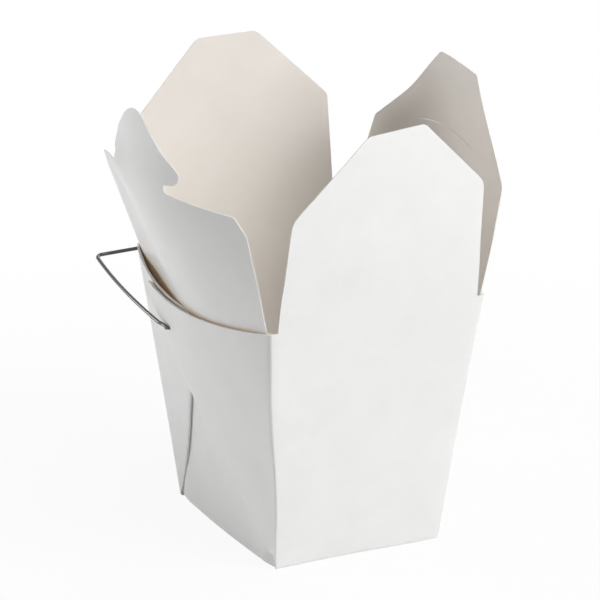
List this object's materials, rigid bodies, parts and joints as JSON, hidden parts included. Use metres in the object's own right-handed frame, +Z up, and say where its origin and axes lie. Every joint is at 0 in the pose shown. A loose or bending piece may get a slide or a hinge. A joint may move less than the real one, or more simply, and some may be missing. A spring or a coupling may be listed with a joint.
{
  "type": "takeout food pail",
  "caption": "Tapered folded paperboard food pail with double-layer corner ears, hinged closing flaps with a hooked tongue and slit, and a swinging wire handle.",
  "frame": {"origin": "middle of the floor's underside, where the pail stands", "axes": "+Z up, +Y from the front wall to the back, +X along the front wall towards the slotted flap"},
  "size_m": [0.146, 0.1485, 0.184],
  "materials": {
    "board": "coated white outside, warm white inside, matt",
    "wire": "bright drawn steel wire"
  },
  "bodies": {
    "body": {"pail_body": "board"},
    "front": {"front_flap": "board"},
    "back": {"back_flap": "board"},
    "tongue": {"tongue_flap": "board"},
    "slot": {"slot_flap": "board"},
    "bail": {"wire_handle": "wire"}
  },
  "joints": [
    {"name": "front_fold", "type": "hinge", "parent": "body", "child": "front", "pos_m": [0, -0.05808, 0.106], "axis": [-1, 0, 0], "range_deg": [-35, 105]},
    {"name": "back_fold", "type": "hinge", "parent": "body", "child": "back", "pos_m": [0, 0.05808, 0.106], "axis": [1, 0, 0], "range_deg": [-35, 98]},
    {"name": "tongue_fold", "type": "hinge", "parent": "body", "child": "tongue", "pos_m": [-0.04548, 0, 0.106], "axis": [0, 1, 0], "range_deg": [-2.5, 95]},
    {"name": "slot_fold", "type": "hinge", "parent": "body", "child": "slot", "pos_m": [0.04548, 0, 0.106], "axis": [0, -1, 0], "range_deg": [-2.5, 102]},
    {"name": "bail_swing", "type": "hinge", "parent": "body", "child": "bail", "pos_m": [0, 0.0105, 0.0874], "axis": [1, 0, 0], "range_deg": [-62, 27]}
  ]
}
